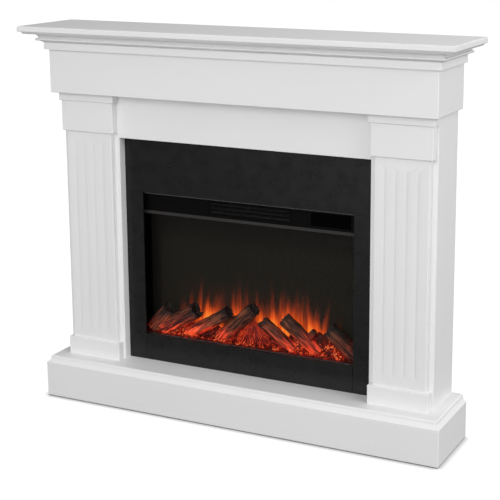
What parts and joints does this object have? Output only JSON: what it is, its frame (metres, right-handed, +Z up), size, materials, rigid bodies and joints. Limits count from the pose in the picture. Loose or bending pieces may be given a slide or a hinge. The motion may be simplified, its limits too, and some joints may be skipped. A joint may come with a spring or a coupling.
{
  "type": "electric fireplace",
  "caption": "Free-standing electric fireplace: white moulded mantel with fluted pilasters round a slim black heater and flame insert with a log bed.",
  "frame": {"origin": "on the floor under the middle of the bounding box", "axes": "+Z up, the front faces -Y, +X to the right as seen from the front; the wall plane is at the highest Y"},
  "size_m": [1.204, 0.242, 1.026],
  "materials": {
    "paint": "white satin paint on fibreboard",
    "black_metal": "fine-textured matte black powder coat",
    "black_trim": "satin black",
    "grey_trim": "satin charcoal",
    "display": "gloss black acrylic",
    "glass": "lightly smoked tempered glass",
    "screen": "dark grey translucent flame screen",
    "logs": "moulded resin painted as charred bark",
    "embers": "translucent moulded resin, lit from below",
    "steel": "zinc-plated sheet",
    "reflector": "bright foil",
    "motor": "grey enamel",
    "heater": "anodised ceramic heater fins",
    "ceramic": "phenolic",
    "circuit": "solder resist",
    "lights": "white circuit board with lights",
    "black_plastic": "moulded",
    "red_plastic": "moulded",
    "glides": "moulded",
    "wheel_metal": "satin"
  },
  "bodies": {
    "mantel": {"shelf_top": "paint", "crown_front": "paint", "crown_left": "paint", "crown_right": "paint", "frieze_front": "paint", "frieze_ends": "paint", "frieze_floor": "paint", "side_panel_left": "paint", "side_panel_right": "paint", "leg_fronts": "paint", "inner_panels": "paint", "lintel_panel": "paint", "pilaster_caps": "paint", "pilaster_blocks": "paint", "pilaster_shaft_left": "paint", "pilaster_shaft_right": "paint", "pilaster_plinths": "paint", "base_deck": "paint", "base_front": "paint", "base_left": "paint", "base_right": "paint", "base_glides": "glides", "back_rails": "paint", "surround_top": "black_metal", "surround_left": "black_metal", "surround_right": "black_metal", "surround_bottom": "black_metal", "control_strip": "black_trim", "outlet_louvres": "black_trim", "display_window": "display", "trim_bar": "grey_trim", "front_glass": "glass", "case_floor": "steel", "case_roof": "steel", "case_sides": "steel", "rear_cover": "black_trim", "side_liners": "black_trim", "log_tray": "steel", "flame_screen": "screen", "ember_bed": "embers", "log_1": "logs", "log_2": "logs", "log_3": "logs", "log_4": "logs", "log_5": "logs", "log_6": "logs", "log_7": "logs", "rotor_motor": "motor", "rotor_bearing": "steel", "led_strips": "lights", "blower_housing": "steel", "blower_motor": "motor", "heater_element": "heater", "thermal_cutout": "ceramic", "control_board": "circuit", "switch_housing": "black_plastic", "power_inlet": "black_plastic"},
    "flame_rotor": {"flame_rotor": "reflector"},
    "blower_wheel": {"blower_wheel": "wheel_metal"},
    "power_switch": {"power_switch": "red_plastic"}
  },
  "joints": [
    {"name": "flame_rotor_spin", "type": "hinge", "parent": "mantel", "child": "flame_rotor", "pos_m": [0, 0.09375, 0.21], "axis": [1, 0, 0], "continuous": true},
    {"name": "blower_spin", "type": "hinge", "parent": "mantel", "child": "blower_wheel", "pos_m": [0, 0.067, 0.654], "axis": [1, 0, 0], "continuous": true},
    {"name": "power_rocker", "type": "hinge", "parent": "mantel", "child": "power_switch", "pos_m": [0.24, 0.11, 0.665], "axis": [0, 0, 1], "range_deg": [-8, 8]}
  ]
}
